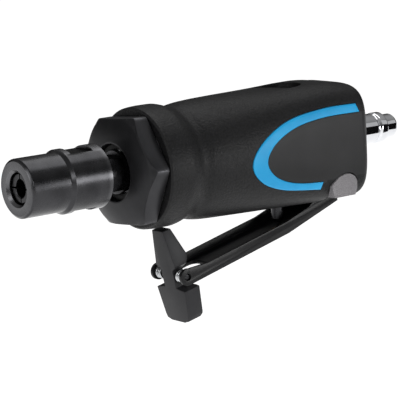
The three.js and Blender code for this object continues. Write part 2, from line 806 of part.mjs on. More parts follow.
function inletBushing() {
  const front = inletFront + RUN;
  const rear = BODY_REAR + 0.3;
  return turned([
    [3.4, front],
    [inletBushingR, front],
    [inletBushingR, rear],
    [plugThreadR + FIT, rear],
    [plugThreadR + FIT, screenFront],
    [3.4, screenFront],
  ]);
}

function inletScreen() {
  const from = screenFront + RUN;
  const to = from + 1;
  const disc = turned([[0, from], [plugThreadR - FIT, from], [plugThreadR - FIT, to], [0, to]],
    'x', [0, 0, 0], SMALL_ROUND);
  const hole = bar(0.8, from - OVERCUT, to + OVERCUT, 'x', [0, 0, 3.6], 6);
  return cutAll(disc, ring(hole, 8));
}

const plugEnd = BODY_REAR + PLUG_LENGTH;

function airPlug() {
  const threadFront = screenFront + 1.8;
  const hexFrom = BODY_REAR + 0.7;
  const hexTo = hexFrom + 5.2;
  const beadFrom = plugEnd - 9.8;
  const body = turned([
    [PLUG_BORE_R, threadFront],
    [plugThreadR - 0.5, threadFront],
    [plugThreadR, threadFront + 0.6],
    [plugThreadR, hexFrom],
    [PLUG_R, hexFrom],
    [PLUG_R, beadFrom - 1],
    [PLUG_R - 0.35, beadFrom - 0.4],
    [PLUG_R - 0.35, beadFrom],
    [PLUG_BEAD_R, beadFrom + 0.7],
    [PLUG_BEAD_R, beadFrom + 3.7],
    [PLUG_NOSE_R, beadFrom + 4.6],
    [PLUG_NOSE_R, plugEnd - 0.8],
    [PLUG_NOSE_R - 0.5, plugEnd],
    [PLUG_BORE_R, plugEnd],
  ]);
  const hexR = 14 / Math.sqrt(3);
  const hexagon = turned([
    [PLUG_BORE_R + 1, hexFrom],
    [hexR, hexFrom],
    [hexR, hexTo],
    [PLUG_BORE_R + 1, hexTo],
  ], 'x', [0, 0, 0], 6);
  return body.add(hexagon);
}

function exhaustSilencer() {
  const from = housingRear - silencerDepth;
  const to = housingRear - 0.2;
  const [inner, outer] = [silencerInnerR + FIT, silencerOuterR - FIT];
  return turned([[inner, from], [outer, from], [outer, to], [inner, to]])
    .subtract(leverSlot(RUN));
}

addNode('inlet_bushing', inletBushing(), steel);
addNode('inlet_screen', inletScreen(), brass);
addNode('exhaust_silencer', exhaustSilencer(), felt);
addNode('air_plug', airPlug(), chrome);

// ---------------------------------------------------------------- squeeze lever

const [catchX, catchZ] = CATCH_PIVOT;
const earR = 3;
const leverInnerHalf = LEVER_WIDTH / 2 - LEVER_SHEET;
const slotEndX = catchX + 14.9; // end of the notch in the lever's floor

function lever() {
  const [bendX, bendZ] = LEVER_BEND;
  const [rearX, rearZ] = LEVER_REAR;
  const frontSlope = Math.atan2(bendZ - (catchZ - earR), bendX - catchX);
  const rearSlope = Math.atan2(rearZ - bendZ, rearX - bendX);
  const above = ([x, z], slope, height) => [x - height * Math.sin(slope), z + height * Math.cos(slope)];
  const frontBottom = [catchX + earR * Math.sin(frontSlope), catchZ - earR * Math.cos(frontSlope)];
  const flange = new THREE.Shape();
  flange.moveTo(...frontBottom);
  flange.lineTo(bendX, bendZ);
  flange.lineTo(rearX, rearZ);
  flange.lineTo(pivotX + 3.1, pivotZ);
  flange.absarc(pivotX, pivotZ, 3.1, 0, Math.PI * 0.8);
  flange.lineTo(...above([pivotX - 9, bendZ + (pivotX - 9 - bendX) * Math.tan(rearSlope)], rearSlope, LEVER_FLANGE));
  flange.lineTo(...above([bendX, bendZ], (frontSlope + rearSlope) / 2, LEVER_FLANGE));
  flange.lineTo(...above([catchX + 10, frontBottom[1] + 10 * Math.tan(frontSlope)], frontSlope, LEVER_FLANGE));
  flange.absarc(catchX, catchZ, earR, Math.PI * 0.42, Math.PI * 1.5 + frontSlope);
  const lift = LEVER_SHEET;
  const inside = [
    above([catchX - 20, frontBottom[1] - 20 * Math.tan(frontSlope)], frontSlope, lift),
    above([bendX, bendZ], (frontSlope + rearSlope) / 2, lift),
    above([rearX + 20, rearZ + 20 * Math.tan(rearSlope)], rearSlope, lift),
    [rearX + 20, 0],
    [catchX - 20, 0],
  ];
  const notchHalf = leverInnerHalf - 0.6;
  const notch = new THREE.Shape();
  const round = 3;
  notch.moveTo(catchX - 8, -notchHalf);
  notch.lineTo(slotEndX - round, -notchHalf);
  notch.absarc(slotEndX - round, -notchHalf + round, round, -Math.PI / 2, 0);
  notch.absarc(slotEndX - round, notchHalf - round, round, 0, Math.PI / 2);
  notch.lineTo(catchX - 8, notchHalf);
  notch.closePath();
  // The floor starts a little behind the catch pin, so the notch is open at the front.
  const openFront = box([catchX - 8, catchX + 4], [-leverInnerHalf, leverInnerHalf], [-60, -30]);
  return cutAll(sidePlate(flange, LEVER_WIDTH), [
    sidePlate(inside, 2 * leverInnerHalf),
    prism(notch, 'top', -60, -30),
    openFront,
    bar(CATCH_PIN_R + FIT, -15, 15, 'y', [catchX, 0, catchZ], 20),
    bar(LEVER_PIN_R + FIT, -15, 15, 'y', [pivotX, 0, pivotZ], 20),
  ]);
}

addNode('lever', lever(), blackSteel);
addNode('lever_pin', bar(LEVER_PIN_R, -13.4, 13.4, 'y', [pivotX, 0, pivotZ], 20), steel);

// ---------------------------------------------------------------- lock-off catch

const neckHalf = 3.3;

// Drawn upright about its pivot, then leant and hung on its pin.
function safetyCatch() {
  const front = -2.2;
  const rear = 4.5;
  const corner = 1.6;
  const profile = [
    [front, CATCH_REACH], [1.3, CATCH_REACH], [rear, 6.4], [2.5, 2.6], [2.5, -4.7], [rear, -4.7],
    [rear, -CATCH_DROP + corner], [rear - corner, -CATCH_DROP], [front, -CATCH_DROP],
  ];
  const half = CATCH_BLOCK_WIDTH / 2;
  const face = new THREE.Shape();
  face.moveTo(3.1, CATCH_REACH);
  face.lineTo(5.5, 3.8);
  face.lineTo(neckHalf, 2.3);
  face.lineTo(neckHalf, -4.2);
  face.lineTo(half, -4.9);
  face.lineTo(half - 1.5, -CATCH_DROP + 2.4);
  face.quadraticCurveTo(half - 1.9, -CATCH_DROP, half - 4.4, -CATCH_DROP);
  face.lineTo(-half + 4.4, -CATCH_DROP);
  face.quadraticCurveTo(-half + 1.9, -CATCH_DROP, -half + 1.5, -CATCH_DROP + 2.4);
  face.lineTo(-half, -4.9);
  face.lineTo(-neckHalf, -4.2);
  face.lineTo(-neckHalf, 2.3);
  face.lineTo(-5.5, 3.8);
  face.lineTo(-3.1, CATCH_REACH);
  face.closePath();
  const upright = sidePlate(profile, CATCH_BLOCK_WIDTH + 2).intersect(prism(face, 'front', -8, 8));
  return upright
    .subtract(bar(CATCH_PIN_R + 0.25, -10, 10, 'y', [0, 0, 0], 20))
    .rotate([0, -CATCH_TILT, 0])
    .translate([catchX, 0, catchZ]);
}

// One coil round the catch pin, ending in a leg that lies along the lever's floor.
function catchSpring(side) {
  const coilR = 1.95;
  const wireR = 0.38;
  const turns = 3;
  const perTurn = 8;
  const innerY = neckHalf + RUN + wireR;
  const outerY = LEVER_WIDTH / 2 - LEVER_SHEET - RUN - wireR;
  const pitch = (outerY - innerY) / turns;
  const points = [];
  for (let i = 0; i <= turns * perTurn; i += 1) {
    const angle = Math.PI * 0.5 - (2 * Math.PI * i) / perTurn;
    const y = side * (innerY + (pitch * i) / perTurn);
    points.push([catchX + coilR * Math.cos(angle), y, catchZ + coilR * Math.sin(angle)]);
  }
  const [x, y, z] = points.at(-1);
  points.push([x + 3, y, z - 0.2], [x + 7, y, z - 1.2]);
  return wire(points, wireR, turns * perTurn + 4);
}

addNode('safety_catch', safetyCatch(), satinGrey);
addNode('catch_pin', bar(CATCH_PIN_R, -LEVER_WIDTH / 2, LEVER_WIDTH / 2, 'y', [catchX, 0, catchZ], 20), steel);
addNode('catch_spring_left', catchSpring(-1), steel);
addNode('catch_spring_right', catchSpring(1), steel);

// ---------------------------------------------------------------- place the tool over its origin

const bounds = new THREE.Box3().setFromObject(tool);
const middle = bounds.getCenter(new THREE.Vector3());
const grinder = new THREE.Group();
tool.position.set(-middle.x, -middle.y, -bounds.min.z);
grinder.add(tool);
grinder.updateMatrixWorld(true);

export default grinder;
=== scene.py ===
import json
import math

import bmesh
import bpy
from mathutils import Matrix, Vector


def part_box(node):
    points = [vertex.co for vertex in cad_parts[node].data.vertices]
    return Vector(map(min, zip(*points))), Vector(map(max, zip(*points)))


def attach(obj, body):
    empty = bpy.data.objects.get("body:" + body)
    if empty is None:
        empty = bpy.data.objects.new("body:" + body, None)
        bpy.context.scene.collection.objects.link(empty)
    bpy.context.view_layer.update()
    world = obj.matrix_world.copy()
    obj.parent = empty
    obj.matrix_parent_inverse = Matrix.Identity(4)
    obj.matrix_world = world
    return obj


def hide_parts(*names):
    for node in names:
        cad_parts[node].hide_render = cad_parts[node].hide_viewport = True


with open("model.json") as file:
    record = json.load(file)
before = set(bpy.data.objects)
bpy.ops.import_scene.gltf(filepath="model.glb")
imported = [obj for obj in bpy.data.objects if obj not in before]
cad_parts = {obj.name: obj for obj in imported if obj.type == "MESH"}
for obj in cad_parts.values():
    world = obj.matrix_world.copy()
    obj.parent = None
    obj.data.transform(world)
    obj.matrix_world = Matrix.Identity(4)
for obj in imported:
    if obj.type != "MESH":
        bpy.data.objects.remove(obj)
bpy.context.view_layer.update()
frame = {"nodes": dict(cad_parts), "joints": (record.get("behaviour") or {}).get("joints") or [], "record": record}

# An air die grinder. Shapes are written in millimetres, along X from the nut's front face, across Y,
# and up Z from the motor axis, and place() puts them in the frame.

MM = 0.001
RECORD = frame["record"]
JOINTS = {joint["name"]: joint for joint in frame["joints"]}
NOSE_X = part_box("collet_nut")[0].x
AXIS_Z = JOINTS["spindle_spin"]["pos_m"][2]
BODY_OF = {node: body for body, nodes in RECORD["behaviour"]["bodies"].items() for node in nodes}
SLOT_OF = {row["node"]: row["material_slot"] for row in RECORD["subparts"]}


def place(x, y, z):
    return Vector((NOSE_X + x * MM, y * MM, AXIS_Z + z * MM))


def span(node):
    """Lowest and highest corner of a CAD node, in millimetres from the nose and the motor axis."""
    low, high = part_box(node)
    shift = Vector((NOSE_X, 0, AXIS_Z))
    return (low - shift) / MM, (high - shift) / MM


def pivot(joint):
    """Station and height of a joint's axis, in millimetres."""
    x, _, z = JOINTS[joint]["pos_m"]
    return (x - NOSE_X) / MM, (z - AXIS_Z) / MM


NUT_REAR = span("collet_nut")[1].x
CAP_FRONT = span("front_cap")[0].x
COVER_LOW, COVER_HIGH = span("grip_cover")
PLUG_LOW, PLUG_HIGH = span("air_plug")
LEVER_HIGH = span("lever")[1]
STEM_LOW, STEM_HIGH = span("valve_stem")
LEVER_X, LEVER_Z = pivot("lever_press")
CATCH_X, CATCH_Z = pivot("catch_swing")
VALVE_X = (STEM_LOW.x + STEM_HIGH.x) / 2
BODY_FRONT = COVER_LOW.x
BODY_REAR = COVER_HIGH.x
RUN = 0.3  # gap between pieces that move past each other

# ------------------------------------------------------------------ mesh helpers


def new_object(name, points, faces):
    mesh = bpy.data.meshes.new(name)
    mesh.from_pydata([place(*point) for point in points], [], faces)
    shape = bmesh.new()
    shape.from_mesh(mesh)
    bmesh.ops.remove_doubles(shape, verts=shape.verts, dist=1e-7)
    bmesh.ops.recalc_face_normals(shape, faces=shape.faces)
    shape.to_mesh(mesh)
    shape.free()
    made = bpy.data.objects.new(name, mesh)
    bpy.context.scene.collection.objects.link(made)
    return made


def skin(rings, sides, closed=False):
    """Four-sided faces between neighbouring rings of points; closed joins the last ring to the first."""
    faces = []
    for ring in range(rings if closed else rings - 1):
        here, there = ring * sides, (ring + 1) % rings * sides
        for k in range(sides):
            after = (k + 1) % sides
            faces.append((here + k, here + after, there + after, there + k))
    return faces


def ends(rings, sides):
    """Faces over the first and the last ring."""
    return [tuple(range(sides)), tuple(range((rings - 1) * sides, rings * sides))]


def lean(piece, degrees, x, z):
    """Turns a piece about the Y axis through the origin, then moves it to a station and height."""
    cosine, sine = math.cos(math.radians(degrees)), math.sin(math.radians(degrees))
    for vertex in piece.data.vertices:
        along = (vertex.co.x - NOSE_X) / MM
        up = (vertex.co.z - AXIS_Z) / MM
        vertex.co = place(x + along * cosine + up * sine, vertex.co.y / MM, z - along * sine + up * cosine)
    return piece


def apply_modifiers(piece):
    bpy.context.view_layer.update()
    graph = bpy.context.evaluated_depsgraph_get()
    mesh = bpy.data.meshes.new_from_object(piece.evaluated_get(graph))
    piece.modifiers.clear()
    piece.data = mesh


def combine(piece, others, operation="DIFFERENCE"):
    """Cuts, joins or overlaps a piece with each of the others, which are used up."""
    for other in others:
        modifier = piece.modifiers.new("combine", "BOOLEAN")
        modifier.operation = operation
        modifier.solver = "EXACT"
        modifier.object = other
        apply_modifiers(piece)
        bpy.data.objects.remove(other)
    return piece


def soften(piece, width, segments=2, angle=35):
    """Rounds the sharp edges."""
    modifier = piece.modifiers.new("round", "BEVEL")
    modifier.width = width * MM
    modifier.segments = segments
    modifier.limit_method = "ANGLE"
    modifier.angle_limit = math.radians(angle)
    apply_modifiers(piece)
    return piece


def shade(piece, angle=32):
    piece.data.polygons.foreach_set("use_smooth", [True] * len(piece.data.polygons))
    piece.data.set_sharp_from_angle(angle=math.radians(angle))


def fillet(points, radius, closed=True, steps=3):
    """An outline with each corner rounded; points on the turning axis stay."""
    rounded = []
    count = len(points)
    for i, corner in enumerate(points):
        at_end = not closed and i in (0, count - 1)
        if at_end:
            rounded.append(corner)
            continue
        here = Vector(corner)
        before = Vector(points[i - 1]) - here
        after = Vector(points[(i + 1) % count]) - here
        reach = min(radius, 0.45 * before.length, 0.45 * after.length)
        start = here + before.normalized() * reach
        end = here + after.normalized() * reach
        for step in range(steps + 1):
            t = step / steps
            rounded.append(tuple(start * (1 - t) ** 2 + here * 2 * t * (1 - t) + end * t**2))
    return rounded


def turned(name, profile, axis="x", at=(0, 0, 0), sides=96, edge=0.15, shape=None):
    """A turned piece. The profile is [radius, length]; shape(x, y, z) may then move each point."""
    open_ends = profile[0][0] == 0 and profile[-1][0] == 0
    line = fillet(profile, edge, closed=not open_ends) if edge else list(profile)
    points = []
    for radius, length in line:
        for k in range(sides):
            angle = 2 * math.pi * k / sides
            u, v = radius * math.cos(angle), radius * math.sin(angle)
            spot = {"x": (length, u, v), "y": (u, length, v), "z": (u, v, length)}[axis]
            spot = tuple(spot[i] + at[i] for i in range(3))
            points.append(shape(*spot) if shape else spot)
    return new_object(name, points, skin(len(line), sides, closed=not open_ends))


def bar(name, radius, start, end, axis="x", at=(0, 0, 0), sides=64):
    return turned(name, [(0, start), (radius, start), (radius, end), (0, end)], axis, at, sides, 0)


def prism(name, outline, plane, start, end):
    """An outline pushed out square to the side, front or top view."""
    spot = {
        "side": lambda u, v, w: (u, w, v),
        "front": lambda u, v, w: (w, u, v),
        "top": lambda u, v, w: (u, v, w),
    }[plane]
    count = len(outline)
    points = [spot(u, v, w) for w in (start, end) for u, v in outline]
    faces = [tuple(range(count)), tuple(range(count, 2 * count))]
    faces += [(i, (i + 1) % count, count + (i + 1) % count, count + i) for i in range(count)]
    return new_object(name, points, faces)


def block(name, x, y, z):
    outline = [(x[0], z[0]), (x[1], z[0]), (x[1], z[1]), (x[0], z[1])]
    return prism(name, outline, "side", *y)


def arc(centre, radius, start, end, steps=16):
    """Points round an arc, angles in degrees."""
    angles = [math.radians(start + (end - start) * i / steps) for i in range(steps + 1)]
    return [(centre[0] + radius * math.cos(a), centre[1] + radius * math.sin(a)) for a in angles]


def spline(points, count):
    """A smooth curve through the points."""
    curve = []
    last = len(points) - 1
    for i in range(count + 1):
        t = last * i / count
        k = min(int(t), last - 1)
        t -= k
        a, b, c, d = (Vector(points[min(max(k + j, 0), last)]) for j in (-1, 0, 1, 2))
        start, end = (c - a) / 2, (d - b) / 2
        near = (2 * t**3 - 3 * t**2 + 1) * b + (t**3 - 2 * t**2 + t) * start
        curve.append(near + (3 * t**2 - 2 * t**3) * c + (t**3 - t**2) * end)
    return curve


def tube(name, path, radius, sides=14):
    """Round wire along a path, with domed ends."""
    last = len(path) - 1
    rings = [(0, 0.35), *[(i, 1) for i in range(1, last)], (last, 0.35)]
    points = []
    side = Vector((0, 1, 0))
    for i, scale in rings:
        along = (path[min(i + 1, last)] - path[max(i - 1, 0)]).normalized()
        side = (side - along * side.dot(along)).normalized()
        up = along.cross(side)
        for k in range(sides):
            angle = 2 * math.pi * k / sides
            offset = (side * math.cos(angle) + up * math.sin(angle)) * radius * scale
            points.append(tuple(path[i] + offset))
    return new_object(name, points, skin(len(rings), sides) + ends(len(rings), sides))


# ------------------------------------------------------------------ materials


class Look:
    """A material with procedural colour, roughness and relief. Scales are in features per millimetre."""

    def __init__(self, name, metallic=0.0, specular=0.5):
        self.material = bpy.data.materials.new(name)
        self.material.use_nodes = True
        self.tree = self.material.node_tree
        self.shader = self.tree.nodes["Principled BSDF"]
        self.shader.inputs["Metallic"].default_value = metallic
        self.shader.inputs["Specular IOR Level"].default_value = specular
        self.place = self.tree.nodes.new("ShaderNodeTexCoord").outputs["Object"]

    def link(self, source, target):
        self.tree.links.new(source, target)

    def noise(self, scale, stretch=(1, 1, 1), detail=4):
        mapping = self.tree.nodes.new("ShaderNodeMapping")
        mapping.inputs["Scale"].default_value = [s * scale / MM for s in stretch]
        self.link(self.place, mapping.inputs["Vector"])
        node = self.tree.nodes.new("ShaderNodeTexNoise")
        node.inputs["Scale"].default_value = 1
        node.inputs["Detail"].default_value = detail
        self.link(mapping.outputs["Vector"], node.inputs["Vector"])
        return node.outputs["Fac"]

    def cells(self, scale):
        node = self.tree.nodes.new("ShaderNodeTexVoronoi")
        node.feature = "SMOOTH_F1"
        node.inputs["Scale"].default_value = scale / MM
        self.link(self.place, node.inputs["Vector"])
        return node.outputs["Distance"]

    def colour(self, source, dark, light, spread=(0.3, 0.7)):
        ramp = self.tree.nodes.new("ShaderNodeValToRGB")
        for element, at, tone in zip(ramp.color_ramp.elements, spread, (dark, light)):
            element.position = at
            element.color = (*tone, 1)
        self.link(source, ramp.inputs["Fac"])
        self.tone = ramp.outputs["Color"]
        self.link(self.tone, self.shader.inputs["Base Color"])

    def wear(self, tone, start=0.53, end=0.6):
        """Lighter edges, where the finish has rubbed."""
        edges = self.tree.nodes.new("ShaderNodeNewGeometry").outputs["Pointiness"]
        spread = self.tree.nodes.new("ShaderNodeMapRange")
        spread.inputs["From Min"].default_value = start
        spread.inputs["From Max"].default_value = end
        self.link(edges, spread.inputs["Value"])
        mix = self.tree.nodes.new("ShaderNodeMix")
        mix.data_type = "RGBA"
        mix.inputs["B"].default_value = (*tone, 1)
        self.link(spread.outputs["Result"], mix.inputs["Factor"])
        self.link(self.tone, mix.inputs["A"])
        self.link(mix.outputs["Result"], self.shader.inputs["Base Color"])

    def roughness(self, source, low, high):
        spread = self.tree.nodes.new("ShaderNodeMapRange")
        spread.inputs["To Min"].default_value = low
        spread.inputs["To Max"].default_value = high
        self.link(source, spread.inputs["Value"])
        self.link(spread.outputs["Result"], self.shader.inputs["Roughness"])

    def relief(self, *layers):
        """Bumps from (source, height in millimetres) layers."""
        normal = None
        for source, height in layers:
            bump = self.tree.nodes.new("ShaderNodeBump")
            bump.inputs["Distance"].default_value = height * MM
            self.link(source, bump.inputs["Height"])
            if normal:
                self.link(normal, bump.inputs["Normal"])
            normal = bump.outputs["Normal"]
        self.link(normal, self.shader.inputs["Normal"])

    def glow(self, strength):
        self.shader.inputs["Emission Color"].default_value = (1, 1, 1, 1)
        self.shader.inputs["Emission Strength"].default_value = strength


def metal_look(name, dark, light, rough, turning=(1, 0.1, 0.1), line=0.002, worn=None, metallic=1.0):
    """Machined metal: fine lines round the axis that it was turned on, and a little staining."""
    look = Look(name, metallic=metallic)
    lines = look.noise(2.5, turning)
    look.colour(look.noise(0.12), dark, light)
    look.roughness(look.noise(0.3), *rough)
    look.relief((lines, line))
    if worn:
        look.wear(worn)
    return look.material


def moulded_look(name, dark, light, rough, grain, height, specular=0.5):
    """Moulded plastic or paint with a fine even grain."""
    look = Look(name, specular=specular)
    look.colour(look.noise(0.08, detail=6), dark, light)
    look.roughness(look.noise(grain), *rough)
    look.relief((look.noise(grain), height), (look.noise(0.25), height * 0.6))
    return look.material


def leathery_look(name, dark, light, rough, cell, height):
    """The grip's textured skin: small rounded cells with finer grain between them."""
    look = Look(name, specular=0.17)
    pattern = look.cells(cell)
    look.colour(pattern, light, dark, spread=(0.15, 0.75))
    look.roughness(look.noise(0.6), *rough)
    look.relief((pattern, -height), (look.noise(3.2), height * 0.35))
    return look.material


def cast_look(name, dark, light):
    """Blasted casting: a speckled grey with a granular surface."""
    look = Look(name, metallic=0.35)
    grain = look.noise(2.4, detail=5)
    look.colour(grain, dark, light, spread=(0.35, 0.65))
    look.roughness(look.noise(0.5), 0.55, 0.8)
    look.relief((grain, 0.09), (look.noise(0.7), 0.05))
    return look.material


def felt_look(name, dark, light):
    look = Look(name, specular=0.15)
    fibres = look.noise(1.5, (1, 0.3, 1), detail=8)
    look.colour(fibres, dark, light)
    look.roughness(fibres, 0.85, 1.0)
    look.relief((fibres, 0.15))
    return look.material


LOOKS = {
    "black_oxide": metal_look(
        "black_oxide", (0.03, 0.03, 0.032), (0.05, 0.05, 0.053), (0.2, 0.34), worn=(0.22, 0.22, 0.23)
    ),
    "anodised": metal_look(
        "anodised", (0.014, 0.014, 0.0155), (0.023, 0.023, 0.025), (0.34, 0.46), worn=(0.12, 0.12, 0.13),
        metallic=0.75,
    ),
    "composite": leathery_look(
        "composite", (0.003, 0.003, 0.0033), (0.009, 0.009, 0.0095), (0.38, 0.58), 1.6, 0.12
    ),
    "stripe_blue": moulded_look(
        "stripe_blue", (0.004, 0.23, 0.48), (0.01, 0.3, 0.58), (0.35, 0.5), 1.6, 0.004, 0.25
    ),
    "cast_grey": cast_look("cast_grey", (0.11, 0.105, 0.11), (0.25, 0.24, 0.25)),
    "black_steel": moulded_look(
        "black_steel", (0.003, 0.003, 0.0035), (0.006, 0.006, 0.0065), (0.28, 0.42), 1.2, 0.008, 0.22
    ),
    "satin_grey": moulded_look(
        "satin_grey", (0.014, 0.014, 0.0155), (0.021, 0.021, 0.023), (0.38, 0.52), 1.4, 0.006, 0.2
    ),
    "chrome": metal_look("chrome", (0.6, 0.61, 0.63), (0.7, 0.71, 0.73), (0.03, 0.09), line=0.0004),
    "steel": metal_look("steel", (0.4, 0.41, 0.42), (0.55, 0.56, 0.57), (0.2, 0.34)),
    "brass": metal_look("brass", (0.5, 0.34, 0.13), (0.66, 0.47, 0.2), (0.25, 0.4)),
    "rubber": moulded_look("rubber", (0.008, 0.008, 0.008), (0.014, 0.014, 0.014), (0.7, 0.85), 1.5, 0.02),
    "phenolic": moulded_look("phenolic", (0.1, 0.05, 0.02), (0.2, 0.1, 0.04), (0.5, 0.7), 1.0, 0.02),
    "felt": felt_look("felt", (0.18, 0.17, 0.16), (0.32, 0.31, 0.29)),
}
PANEL = moulded_look("panel", (0.009, 0.009, 0.0095), (0.013, 0.013, 0.0137), (0.4, 0.52), 2.2, 0.03, 0.22)


def stand_for(piece, node):
    """The piece takes the place, the body and the finish of a CAD node."""
    piece.data.materials.append(LOOKS[SLOT_OF[node]])
    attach(piece, BODY_OF[node])
    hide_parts(node)
    shade(piece)


# ------------------------------------------------------------------ nose: nut, collet, spindle, seal

NUT_FRONT_R = 10
NUT_REAR_R = 10.95
NUT_STEP = 15.3
NUT_MOUTH_R = 5.4
NUT_FLAT_HALF = 9.5
NUT_FLATS = (18.6, 27.6)
SHANK_R = 3
TAPER_END = 25
SPINDLE_R = 7.4
SPINDLE_FLAT_HALF = 5.65
SPINDLE_FLATS = (26.5, CAP_FRONT + 0.6)
FLAT_STEP = 0.02  # how far to each side of a flat's end a ring lies


def with_flats(stations, half):
    """Moves the points between two stations onto a pair of flats, above and below."""

    def shape(x, y, z):
        if stations[0] <= x <= stations[1]:
            return x, y, max(-half, min(half, z))
        return x, y, z

    return shape


def nut():
    rear = NUT_REAR
    outside = [
        (NUT_FRONT_R - 0.9, 0), (NUT_FRONT_R, 0.7), (NUT_FRONT_R, NUT_STEP),
        (NUT_REAR_R, NUT_STEP + 1.2),
    ]
    for at in NUT_FLATS:
        outside += [(NUT_REAR_R, at - FLAT_STEP), (NUT_REAR_R, at + FLAT_STEP)]
    outside += [(NUT_REAR_R, rear - 0.4), (NUT_REAR_R - 0.3, rear)]
    inside = [
        (9, rear), (9, 24.6), (8.2, 23.8), (8.2, 6.9), (7.4, 6.5), (NUT_MOUTH_R, 3),
        (NUT_MOUTH_R, 0.9), (NUT_MOUTH_R + 0.9, 0),
    ]
    line = fillet(outside[:4], 0.28, closed=False) + outside[4:] + inside
    return turned("nut_turned", line, sides=160, edge=0, shape=with_flats(NUT_FLATS, NUT_FLAT_HALF))


def collet():
    body = turned("collet_turned", [
        (SHANK_R + 0.3, 1.6), (4.8, 1.6), (5.1, 1.9), (5.1, 3.2), (6.6, 6.2), (6.6, 7.6),
        (4.3, TAPER_END - RUN), (SHANK_R, TAPER_END - RUN), (SHANK_R, 1.9),
    ], sides=96, edge=0.12)
    slits = []
    for turn in range(4):
        across, up = [(0, 1), (1, 0), (0, -1), (-1, 0)][turn]
        y = (-0.35, 0.35) if across == 0 else sorted((0, 9 * across))
        z = (-0.35, 0.35) if up == 0 else sorted((0, 9 * up))
        slits.append(block("slit", (0, 17), y, z))
    return combine(body, slits)


def spindle():
    front, rear = 8, 50.6
    line = [
        (0, 34), (3.4, 33), (3.4, TAPER_END), (4.6, TAPER_END), (6.9, front), (7.4, front),
        (7.9, front + 0.5), (7.9, 23), (SPINDLE_R, 23.5),
    ]
    for at in SPINDLE_FLATS:
        line += [(SPINDLE_R, at - FLAT_STEP), (SPINDLE_R, at + FLAT_STEP)]
    line += [
        (SPINDLE_R, 40), (6.9, 43.2), (6, 43.2), (6, rear), (4.15, rear), (4.15, rear - 10),
        (0, rear - 11),
    ]
    flats = with_flats(SPINDLE_FLATS, SPINDLE_FLAT_HALF)
    return turned("spindle_turned", line, sides=128, edge=0, shape=flats)


def seal():
    front = CAP_FRONT + 2.1
    return turned("seal_ring", [
        (7.7, front + 0.4), (8.2, front), (9.7, front), (9.7, front + 2.1), (7.7, front + 2.1),
    ], edge=0.3)


stand_for(nut(), "collet_nut")
stand_for(collet(), "collet")
stand_for(spindle(), "spindle")
stand_for(seal(), "spindle_seal")

# ------------------------------------------------------------------ front clamp cap

CAP_HOLE_R = 9.9
CAP_HALF_FLATS = 18.1
CAP_TURN = 4
CAP_CREASE_R = 18.5
CAP_LENGTH = 8.8
CAP_REAR = CAP_FRONT + CAP_LENGTH


def dome(radius):
    """How far the cap's front face stands back at a radius."""
    steps = [(10.5, 0), (13.2, 0.35), (16, 1.0), (CAP_CREASE_R, 1.9), (20.9, 3.7)]
    if radius <= steps[0][0]:
        return 0.0
    for (r0, d0), (r1, d1) in zip(steps, steps[1:]):
        if radius <= r1:
            t = (radius - r0) / (r1 - r0)
            return d0 + (d1 - d0) * t
    return steps[-1][1]


def cap():
    """A domed hexagon whose sections are drawn from the hole outwards, so every edge is rounded."""
    sides = 288
    sharpness = 70
    skirt_r, seat_r = 16.4, 12
    points = []

    def hexagon(angle):
        total = 0
        for i in range(6):
            face = math.radians(180 - CAP_TURN - 30 - 60 * i)
            total += max(0, math.cos(angle - face)) ** sharpness
        return CAP_HALF_FLATS * total ** (-1 / sharpness)

    rows = [("hole", CAP_HOLE_R, 4.4), ("hole", CAP_HOLE_R, 0.35), ("hole", CAP_HOLE_R + 0.1, 0.1),
            ("hole", CAP_HOLE_R + 0.35, 0)]
    rows += [("face", radius, 0) for radius in (10.6, 11.2, 12, 13.2, 14.5, 16, 17, 17.7)]
    rows += [("face", CAP_CREASE_R - 0.12, 0), ("face", CAP_CREASE_R + 0.12, 0), ("face", 19.4, 0)]
    rows += [("rim", 0.3, 0.02), ("rim", 0.1, 0.12), ("rim", 0, 0.35)]
    rows += [("rear", 0, -0.4), ("rear", 0.12, -0.1), ("rear", 0.5, 0), ("turned", skirt_r, 0)]
    rows += [("turned", skirt_r, 7.3), ("turned", skirt_r - 0.3, 7.6), ("turned", seat_r, 7.6)]
    rows += [("hole", seat_r, 4.6), ("hole", CAP_HOLE_R, 4.5)]
    for kind, a, b in rows:
        for k in range(sides):
            angle = 2 * math.pi * k / sides
            outer = hexagon(angle)
            if kind == "hole":
                radius, x = a, CAP_FRONT + b
            elif kind == "face":
                radius = min(a, outer - 0.3)
                x = CAP_FRONT + dome(radius)
            elif kind == "rim":
                radius = outer - a
                x = CAP_FRONT + dome(outer) + b
            elif kind == "rear":
                radius, x = outer - a, CAP_REAR + b
            else:
                radius, x = a, CAP_REAR + b
            points.append((x, radius * math.cos(angle), radius * math.sin(angle)))
    return new_object("clamp_cap", points, skin(len(rows), sides, closed=True))


stand_for(cap(), "front_cap")

# ------------------------------------------------------------------ grip cover, stripes and casting

COLLAR_R = 21.3
VALLEY_R = 19.6
HALF_WIDTH = 19.7
REAR_ROUND = 4.2
HOUSING_R = 17
REAR_HOLE_R = 9.3
EXHAUST_HOLES = 8
EXHAUST_RING_R = 12.8
EXHAUST_R = 1.3
STRIPE_PROUD = 0.35
STRIPE_DEPTH = 1.1
PANEL_SIDE = 18  # the flat panel lies further out than this

